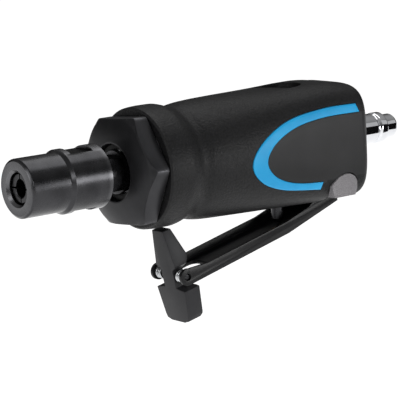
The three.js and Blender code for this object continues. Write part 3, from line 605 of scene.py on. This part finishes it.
# Stations of the grip: x, half width, height above the axis, depth below it, squareness.
GRIP_STATIONS = [
    (BODY_FRONT, COLLAR_R - 0.9, COLLAR_R - 0.9, COLLAR_R - 0.9, 2),
    (BODY_FRONT + 0.6, COLLAR_R - 0.3, COLLAR_R - 0.3, COLLAR_R - 0.3, 2),
    (53, COLLAR_R, COLLAR_R, COLLAR_R, 2),
    (57, COLLAR_R, COLLAR_R, COLLAR_R, 2),
    (59.5, COLLAR_R - 0.5, COLLAR_R - 0.5, COLLAR_R - 0.4, 2),
    (61.5, COLLAR_R - 1.2, COLLAR_R - 1.2, COLLAR_R - 1, 2),
    (63, VALLEY_R, VALLEY_R, VALLEY_R + 0.3, 2),
    (64.5, VALLEY_R, VALLEY_R, VALLEY_R + 0.3, 2),
    (67, VALLEY_R + 0.5, VALLEY_R + 0.5, VALLEY_R + 0.8, 2.05),
    (72, 20.6, 20.6, 21, 2.1),
    (80, 20.7, 20.9, 21.3, 2.2),
    (90, 20.4, 21, 21.5, 2.45),
    (100, 20, 21, 21.6, 2.8),
    (110, HALF_WIDTH, 21.1, 21.7, 3.2),
    (120, HALF_WIDTH, 21.3, 21.8, 3.6),
    (126, HALF_WIDTH, 21.3, 21.8, 3.8),
    (131, HALF_WIDTH, 21, 21.7, 4),
    (BODY_REAR - REAR_ROUND, HALF_WIDTH, 20.4, 21.4, 4.2),
]


def section(x):
    """The grip's half width, height, depth and squareness at a station, without overshoot."""
    rows = GRIP_STATIONS
    if x <= rows[0][0]:
        return rows[0][1:]
    for i in range(len(rows) - 1):
        if x <= rows[i + 1][0]:
            break
    else:
        return rows[-1][1:]
    step = rows[i + 1][0] - rows[i][0]
    t = (x - rows[i][0]) / step

    def slope(at, column):
        if at in (0, len(rows) - 1):
            return 0.0
        before = (rows[at][column] - rows[at - 1][column]) / (rows[at][0] - rows[at - 1][0])
        after = (rows[at + 1][column] - rows[at][column]) / (rows[at + 1][0] - rows[at][0])
        return 0.0 if before * after <= 0 else 2 * before * after / (before + after)

    values = []
    for column in (1, 2, 3, 4):
        start, end = rows[i][column], rows[i + 1][column]
        value = (2 * t**3 - 3 * t**2 + 1) * start + (3 * t**2 - 2 * t**3) * end
        value += (t**3 - 2 * t**2 + t) * step * slope(i, column)
        value += (t**3 - t**2) * step * slope(i + 1, column)
        values.append(value)
    return values


def grip_shape():
    """The grip's outer surface as one closed solid, with a rounded rear end."""
    sides, pitch, rear_rings = 176, 1.0, 12
    last = GRIP_STATIONS[-1][0]
    stations = [BODY_FRONT, BODY_FRONT + 0.25, BODY_FRONT + 0.6]
    while stations[-1] + pitch < last:
        stations.append(stations[-1] + pitch)
    rows = [(x, *section(x)) for x in stations]
    wide, up, down, power = section(last)
    for i in range(rear_rings + 1):
        angle = i * math.pi / (2 * rear_rings)
        inset = REAR_ROUND * (1 - math.cos(angle))
        rows.append((last + REAR_ROUND * math.sin(angle), wide - inset, up - inset, down - inset, power))
    points = []
    for x, wide, up, down, power in rows:
        for k in range(sides):
            angle = 2 * math.pi * k / sides
            c, s = math.cos(angle), math.sin(angle)
            high = up if s >= 0 else down
            radius = (abs(c / wide) ** power + abs(s / high) ** power) ** (-1 / power)
            points.append((x, radius * c, radius * s))
    return new_object("grip_shell", points, skin(len(rows), sides) + ends(len(rows), sides))


def side_surface(x, z, grow):
    """How far out the grip's side lies at a station and height."""
    wide, up, down, power = section(x)
    high = (up if z >= 0 else down) + grow
    return (wide + grow) * (1 - min(0.999, abs(z / high)) ** power) ** (1 / power)


# The stripe's curves in the side view, from the upper end round to the lower.
STRIPE_OUTER = [
    (133.4, 13.6), (118, 13.5), (101, 11), (88.4, 5), (83.4, -2), (88, -8.6), (99, -13), (116, -15.3),
]
STRIPE_INNER = [
    (134.6, 10.6), (118, 10.5), (104, 8.4), (94, 3.8), (90.2, -2), (94.4, -7.6), (104, -11.2),
    (116.6, -12.6),
]


def stripe_solid(name, side, grow, bottom, top, edge):
    """A band along the grip's side between the stripe's outer and inner curves."""
    along, across = 120, 14
    outer = spline(STRIPE_OUTER, along)
    inner = spline(STRIPE_INNER, along)
    points = []
    for i, (a, b) in enumerate(zip(outer, inner)):
        out = (a - b).normalized() * grow
        step = (outer[min(i + 1, along)] - outer[max(i - 1, 0)]).normalized()
        push = step * grow * (1 if i == along else -1 if i == 0 else 0)
        start, end = a + out + push, b - out + push
        distance = min(i, along - i) * (outer[0] - outer[along]).length / along
        for k in range(across + 1):
            t = k / across
            spot = start.lerp(end, t)
            reach = min(t, 1 - t) * (start - end).length
            fade = min(1, reach / edge, distance / edge) if edge else 1
            height = top - (0.2 * (1 - fade) ** 2 if edge else 0)
            points.append((spot.x, side * side_surface(spot.x, spot.y, height), spot.y))
        for k in range(across + 1):
            spot = end.lerp(start, k / across)
            points.append((spot.x, side * side_surface(spot.x, spot.y, bottom), spot.y))
    loop = 2 * (across + 1)
    faces = skin(along + 1, loop)
    for base in (0, along * loop):
        for k in range(across):
            faces.append((base + k, base + k + 1, base + loop - 2 - k, base + loop - 1 - k))
    return new_object(name, points, faces)


# The lug's edge in the side view.
LUG_CENTRE = Vector((127, -17))
LUG_EDGE = [
    (131.9, -19), (132.7, -17), (132.8, -14.4), (132.1, -12.9), (130.6, -11.7), (128.6, -11.1),
    (126.5, -11.2), (124.5, -11.8), (121.7, -13.6), (120.75, -14.8), (121.2, -17), (121.95, -19),
]
LUG_FACE = 19.15
LUG_BOTTOM = -19.3
LUG_GAP = 0.35  # round the lug, in its window in the cover
BELOW = -30  # a height under the whole grip


def lug_outline(grow, bottom):
    """The lug's side view, moved out by grow: a slanted front shoulder and a rounded top."""
    edge = []
    for x, z in LUG_EDGE:
        arm = Vector((x, z)) - LUG_CENTRE
        edge.append(tuple(LUG_CENTRE + arm * (1 + grow / arm.length)))
    return [(edge[0][0], bottom), *[tuple(point) for point in spline(edge, 40)], (edge[-1][0], bottom)]


def lever_slot():
    half = LEVER_HIGH.y + 0.7
    return block("lever_slot", (LEVER_X - 13, LEVER_HIGH.x + 1), (-half, half), (BELOW, LEVER_Z + 3.4))


def thumb_rest():
    """The cutter for the recess on top of the grip, rounded at its rear end."""
    length, half, front, floor = 20, 7.6, 102, 21.1
    outline = [(0, -half), *arc((length - half, 0), half, -90, 90, 32), (0, half)]
    return lean(prism("thumb_rest", outline, "top", 0, 8), 5.4, front, floor)


def inside_outline(x, z):
    """Whether a point of the side view lies in the flat panel that the stripe goes round."""
    outline = spline(STRIPE_INNER, 60)
    outline = [Vector((BODY_REAR, outline[0].y)), *outline, Vector((BODY_REAR, outline[-1].y))]
    inside = False
    for a, b in zip(outline, outline[1:] + outline[:1]):
        if (a.y > z) != (b.y > z) and x < a.x + (b.x - a.x) * (z - a.y) / (b.y - a.y):
            inside = not inside
    return inside


def cover():
    shell = grip_shape()
    bore = bar("bore", HOUSING_R + 0.6, BODY_FRONT - 1, BODY_REAR - 4.3, sides=128)
    rear_hole = bar("rear_hole", REAR_HOLE_R, BODY_REAR - 6, BODY_REAR + 1, sides=96)
    window = prism("window", lug_outline(LUG_GAP, BELOW), "side", -HALF_WIDTH - 2, HALF_WIDTH + 2)
    relief = prism("relief", [
        (58.2, -COLLAR_R - 1), (58.2, -COLLAR_R + 0.6), (61.2, -18.6), (66, -17.7), (72, -17.7),
        (78, -19.8), (80.4, -COLLAR_R - 1),
    ], "side", -3.5, 3.5)
    stem_hole = bar("stem_hole", 6, -HALF_WIDTH - 10, -10, "z", (VALVE_X, 0, 0), 72)
    exhausts = []
    for i in range(EXHAUST_HOLES):
        angle = 2 * math.pi * (i + 0.5) / EXHAUST_HOLES
        at = (0, EXHAUST_RING_R * math.cos(angle), EXHAUST_RING_R * math.sin(angle))
        exhausts.append(bar("exhaust", EXHAUST_R, BODY_REAR - 6, BODY_REAR + 1, "x", at, 24))
    pockets = [stripe_solid("pocket", side, 0.25, -1.4, 2, 0) for side in (-1, 1)]
    cutters = [bore, rear_hole, window, lever_slot(), thumb_rest(), relief, stem_hole, *exhausts, *pockets]
    return combine(shell, cutters)


def casting():
    """The motor housing, with the lug that shows at the lower rear."""
    front, rear = BODY_FRONT + 0.4, BODY_REAR - 4.6
    cap_seat_r, cap_seat_end, motor_r, motor_end, inlet_front = 16.55, 55.4, 14.65, 104.3, 124
    body = turned("casting_sleeve", [
        (cap_seat_r, front), (HOUSING_R, front), (HOUSING_R, rear), (REAR_HOLE_R, rear),
        (REAR_HOLE_R, inlet_front), (0, inlet_front), (0, motor_end), (motor_r, motor_end),
        (motor_r, cap_seat_end), (cap_seat_r, cap_seat_end),
    ], sides=96, edge=0)
    lugs = prism("lugs", lug_outline(0, LUG_BOTTOM), "side", -LUG_FACE, LUG_FACE)
    soften(lugs, 0.6, 3)
    combine(body, [lugs], "UNION")
    valve_way = bar("valve_way", 5, BELOW, 7, "z", (VALVE_X, 0, 0))
    return combine(body, [lever_slot(), valve_way])


grip = cover()
stand_for(grip, "grip_cover")
grip.data.materials.append(PANEL)
for polygon in grip.data.polygons:
    x, y, z = polygon.center
    if abs(y) > PANEL_SIDE * MM and inside_outline((x - NOSE_X) / MM, (z - AXIS_Z) / MM):
        polygon.material_index = 1
for side, node in ((-1, "stripe_left"), (1, "stripe_right")):
    stand_for(stripe_solid(node + "_band", side, 0, -STRIPE_DEPTH, STRIPE_PROUD, 0.7), node)
stand_for(casting(), "motor_housing")

# ------------------------------------------------------------------ valve, inlet and air plug


def stem():
    low = STEM_LOW.z
    return turned("stem_turned", [
        (0, low), (1.15, low + 0.12), (2.0, low + 0.6), (2.3, low + 1.4), (2.3, -15.2), (1.4, -14.6),
        (1.4, -8.7), (4.2, -8.7), (4.2, -7.1), (2.2, -6.5), (2.2, -5.3), (0, -5.3),
    ], "z", (VALVE_X, 0, 0))


def bushing():
    bottom = -21.2
    return turned("bushing_turned", [
        (2.5, bottom), (5.7, bottom), (5.7, -17.3), (4.85, -17.3), (4.85, -14.6), (3.7, -14.2),
        (3.7, -10.8), (4.85, -10.4), (4.85, -9), (2.5, -9),
    ], "z", (VALVE_X, 0, 0), edge=0.2)


def inlet():
    rear = span("inlet_bushing")[1].x
    return turned("inlet_turned", [
        (3.4, 124.3), (9, 124.3), (9, rear), (6.35, rear), (6.35, 125.4), (3.4, 125.4),
    ], edge=0.3)


def plug():
    front, end = PLUG_LOW.x, PLUG_HIGH.x
    hex_from = BODY_REAR + 0.7
    bead = end - 9.8
    neck, bead_r, nose_r, bore_r = 5.65, 5.8, 4.55, 3.6
    body = turned("plug_turned", [
        (bore_r, front), (5.7, front), (6.2, front + 0.6), (6.2, hex_from), (neck, hex_from),
        (neck, bead - 1), (neck - 0.35, bead - 0.5), (neck - 0.35, bead), (bead_r, bead + 0.7),
        (bead_r, bead + 3.7), (nose_r, bead + 4.6), (nose_r, end - 0.8), (nose_r - 0.5, end),
        (bore_r, end),
    ], edge=0.3)
    hex_flats, hex_length = 14, 5.2
    corner = hex_flats / math.sqrt(3)
    turns = [math.radians(60 * i) for i in range(6)]
    outline = [(corner * math.sin(turn), corner * math.cos(turn)) for turn in turns]
    hexagon = prism("plug_hexagon", outline, "front", hex_from, hex_from + hex_length)
    soften(hexagon, 0.35, 3)
    combine(hexagon, [bar("hexagon_bore", bore_r + 1, hex_from - 1, hex_from + 7)])
    return combine(body, [hexagon], "UNION")


stand_for(stem(), "valve_stem")
stand_for(bushing(), "valve_bushing")
stand_for(inlet(), "inlet_bushing")
stand_for(plug(), "air_plug")

# ------------------------------------------------------------------ lever, catch, pins and springs

LEVER_SHEET = 1.2
LEVER_FLANGE = 4.2
LEVER_BEND = (108.3, -30.9)
LEVER_REAR = (132.2, -22.5)
EAR_R = 3
LEVER_HALF = LEVER_HIGH.y
LEVER_INNER = LEVER_HALF - LEVER_SHEET
CATCH_NECK = 3.3
CATCH_TILT = -12  # degrees


def lever():
    """A channel bent from sheet: ears and a notched floor in front, its pivot at the rear."""
    bend_x, bend_z = LEVER_BEND
    rear_x, rear_z = LEVER_REAR
    front_slope = math.atan2(bend_z - (CATCH_Z - EAR_R), bend_x - CATCH_X)
    rear_slope = math.atan2(rear_z - bend_z, rear_x - bend_x)
    middle = (front_slope + rear_slope) / 2

    def above(x, z, slope, height):
        return x - height * math.sin(slope), z + height * math.cos(slope)

    bottom_x = CATCH_X + EAR_R * math.sin(front_slope)
    bottom_z = CATCH_Z - EAR_R * math.cos(front_slope)
    rear_at = LEVER_X - 9
    top_rear = above(rear_at, bend_z + (rear_at - bend_x) * math.tan(rear_slope), rear_slope, LEVER_FLANGE)
    top_front = above(CATCH_X + 10, bottom_z + 10 * math.tan(front_slope), front_slope, LEVER_FLANGE)
    flange = [
        (bottom_x, bottom_z), (bend_x, bend_z), (rear_x, rear_z),
        *arc((LEVER_X, LEVER_Z), 3.1, 0, 144, 20), top_rear, above(bend_x, bend_z, middle, LEVER_FLANGE),
        top_front, *arc((CATCH_X, CATCH_Z), EAR_R, 75.6, 270 + math.degrees(front_slope), 28),
    ]
    inside = [
        above(CATCH_X - 20, bottom_z - 20 * math.tan(front_slope), front_slope, LEVER_SHEET),
        above(bend_x, bend_z, middle, LEVER_SHEET),
        above(rear_x + 20, rear_z + 20 * math.tan(rear_slope), rear_slope, LEVER_SHEET),
        (rear_x + 20, 0), (CATCH_X - 20, 0),
    ]
    half = LEVER_INNER - 0.6
    notch_end, corner = CATCH_X + 14.9, 3
    notch = [
        (CATCH_X - 8, -half), *arc((notch_end - corner, -half + corner), corner, -90, 0),
        *arc((notch_end - corner, half - corner), corner, 0, 90), (CATCH_X - 8, half),
    ]
    channel = prism("lever_channel", flange[1:-1], "side", -LEVER_HALF, LEVER_HALF)
    cutters = [
        prism("inside", inside, "side", -LEVER_INNER, LEVER_INNER),
        prism("notch", notch, "top", -60, -30),
        block("open_front", (CATCH_X - 8, CATCH_X + 4), (-LEVER_INNER, LEVER_INNER), (-60, -30)),
        bar("catch_bore", 1.3, -15, 15, "y", (CATCH_X, 0, CATCH_Z)),
        bar("lever_bore", 1.65, -15, 15, "y", (LEVER_X, 0, LEVER_Z)),
    ]
    combine(channel, cutters)
    return soften(channel, 0.22, 2, 40)


def catch():
    """A finger over the pin, a narrow neck between the springs, and a wide thumb block."""
    reach, drop, half = 17, 17.2, 8
    front, rear, corner = -2.2, 4.5, 1.6
    profile = [
        (front, reach), (1.3, reach), (rear, 6.4), (2.5, 2.6), (2.5, -4.7), (rear, -4.7),
        (rear, -drop + corner), (rear - corner, -drop), (front, -drop),
    ]
    right = [
        (3.1, reach), (5.5, 3.8), (CATCH_NECK, 2.3), (CATCH_NECK, -4.2), (half, -4.9),
        (half - 1.5, -drop + 2.4), (half - 2.1, -drop + 0.7), (half - 4.4, -drop),
    ]
    face = right + [(-y, z) for y, z in reversed(right)]
    upright = prism("catch_side", profile, "side", -9, 9)
    across = prism("catch_face", face, "front", -8, 8)
    bore = bar("catch_bore", 1.4, -10, 10, "y")
    combine(upright, [across], "INTERSECT")
    combine(upright, [bore])
    soften(upright, 0.28, 3, 30)
    return lean(upright, CATCH_TILT, CATCH_X, CATCH_Z)


def catch_spring(name, side):
    """Coils round the catch pin, ending in a leg along the lever's floor."""
    coil_r, wire_r, turns, per_turn = 1.95, 0.38, 3, 28
    inner_y = CATCH_NECK + RUN + wire_r
    outer_y = LEVER_INNER - RUN - wire_r
    pitch = (outer_y - inner_y) / turns
    path = []
    for i in range(turns * per_turn + 1):
        angle = math.pi / 2 - 2 * math.pi * i / per_turn
        y = side * (inner_y + pitch * i / per_turn)
        path.append(Vector((CATCH_X + coil_r * math.cos(angle), y, CATCH_Z + coil_r * math.sin(angle))))
    x, y, z = path[-1]
    leg = [(x, y, z), (x + 3, y, z - 0.2), (x + 7, y, z - 1.2)]
    path += spline(leg, 16)[1:]
    return tube(name, path, wire_r)


def pin(name, radius, half, x, z):
    line = [(0, -half), (radius - 0.3, -half), (radius, -half + 0.3), (radius, half - 0.3),
            (radius - 0.3, half), (0, half)]
    return turned(name, line, "y", (x, 0, z), 48, 0.12)


stand_for(lever(), "lever")
stand_for(catch(), "safety_catch")
stand_for(pin("lever_pin_turned", 1.5, 13.4, LEVER_X, LEVER_Z), "lever_pin")
stand_for(pin("catch_pin_turned", 1.15, LEVER_HALF - 0.5, CATCH_X, CATCH_Z), "catch_pin")
stand_for(catch_spring("catch_coil_left", -1), "catch_spring_left")
stand_for(catch_spring("catch_coil_right", 1), "catch_spring_right")

# ------------------------------------------------------------------ CAD nodes that stay as they are

for node, piece in frame["nodes"].items():
    if not piece.hide_render:
        piece.data.materials.clear()
        piece.data.materials.append(LOOKS[SLOT_OF[node]])

# ------------------------------------------------------------------ floor, light and camera


def area_light(name, at, target, size, power):
    data = bpy.data.lights.new(name, "AREA")
    data.shape = "RECTANGLE"
    data.size, data.size_y = size
    data.energy = power
    light = bpy.data.objects.new(name, data)
    light.location = at
    light.rotation_euler = (Vector(target) - Vector(at)).to_track_quat("-Z", "Y").to_euler()
    light.visible_camera = False
    bpy.context.scene.collection.objects.link(light)


def flat_sheet(name, corners, paint):
    """A flat sheet with four corners, in one paint."""
    mesh = bpy.data.meshes.new(name)
    mesh.from_pydata(corners, [], [(0, 1, 2, 3)])
    mesh.materials.append(paint.material)
    made = bpy.data.objects.new(name, mesh)
    bpy.context.scene.collection.objects.link(made)
    return made


CARD_Y = -0.31
CARD_LEFT, CARD_RIGHT = 0.27, 0.7


def card(name, low, high, glow):
    """A card to the front right, seen only in reflections: black, or glowing as a softbox does."""
    paint = Look(name + "_paint", specular=0)
    paint.colour(paint.noise(0.01), (0.004, 0.004, 0.004), (0.006, 0.006, 0.006))
    paint.glow(glow)
    made = flat_sheet(name, [
        (CARD_LEFT, CARD_Y, low), (CARD_RIGHT, CARD_Y, low), (CARD_RIGHT, CARD_Y, high),
        (CARD_LEFT, CARD_Y, high),
    ], paint)
    made.visible_camera = False
    made.visible_shadow = False


def studio():
    """A pale floor, four soft lights, and two cards for the polished plug to mirror."""
    ground, half = -0.3, 12
    paint = Look("floor_paint", specular=0.1)
    paint.colour(paint.noise(0.01), (0.93, 0.93, 0.93), (0.95, 0.95, 0.95))
    paint.roughness(paint.noise(0.01), 0.8, 0.9)
    paint.glow(0.8)
    floor = flat_sheet("floor", [
        (-half, -half, ground), (half, -half, ground), (half, half, ground), (-half, half, ground),
    ], paint)
    middle = (0, 0, 0.05)
    area_light("ceiling", (0.35, 0.1, 1.0), middle, (0.9, 0.6), 4)
    area_light("front_right", (0.17, -0.3, 0.07), (-0.06, 0, 0.056), (0.17, 0.1), 0.45)
    area_light("left", (-0.9, -0.1, 0.45), middle, (0.4, 0.6), 2.2)
    area_light("beside_camera", (-0.5, -0.62, 0.3), middle, (0.35, 0.22), 1.3)
    card("dark_card", -0.17, 0.19, 0)
    card("bright_card", 0.19, 0.5, 0.6)


def sky():
    """Grey above and below, dark in a band at eye level, as the inside of a light tent."""
    world = bpy.data.worlds.new("tent")
    bpy.context.scene.world = world
    world.use_nodes = True
    nodes, links = world.node_tree.nodes, world.node_tree.links
    direction = nodes.new("ShaderNodeTexCoord").outputs["Generated"]
    split = nodes.new("ShaderNodeSeparateXYZ")
    links.new(direction, split.inputs["Vector"])
    ramp = nodes.new("ShaderNodeValToRGB")
    spread = nodes.new("ShaderNodeMapRange")
    spread.inputs["From Min"].default_value = -1
    links.new(split.outputs["Z"], spread.inputs["Value"])
    links.new(spread.outputs["Result"], ramp.inputs["Fac"])
    elements = ramp.color_ramp.elements
    elements[0].position, elements[0].color = 0.4, (0.3, 0.3, 0.3, 1)
    elements[1].position, elements[1].color = 0.85, (0.4, 0.4, 0.4, 1)
    for at, tone in ((0.46, 0.03), (0.62, 0.03)):
        element = elements.new(at)
        element.color = (tone, tone, tone, 1)
    links.new(ramp.outputs["Color"], nodes["Background"].inputs["Color"])
    nodes["Background"].inputs["Strength"].default_value = 0.9


def camera():
    """The camera's place, aim and roll give the reference view."""
    location = Vector((-0.42275, -0.53302, 0.15989))
    target = Vector((-0.00526, 0.00419, 0.04046))
    roll = math.radians(-3.026)
    back = (location - target).normalized()
    level = Vector((0, 0, 1)).cross(back).normalized()
    right = level * math.cos(roll) + back.cross(level) * math.sin(roll)
    up = back.cross(right)
    data = bpy.data.cameras.new("camera")
    data.lens = 176.04
    made = bpy.data.objects.new("camera", data)
    made.matrix_world = Matrix((
        (right.x, up.x, back.x, location.x),
        (right.y, up.y, back.y, location.y),
        (right.z, up.z, back.z, location.z),
        (0, 0, 0, 1),
    ))
    bpy.context.scene.collection.objects.link(made)
    bpy.context.scene.camera = made


studio()
sky()
camera()
bpy.context.scene.view_settings.view_transform = "Standard"
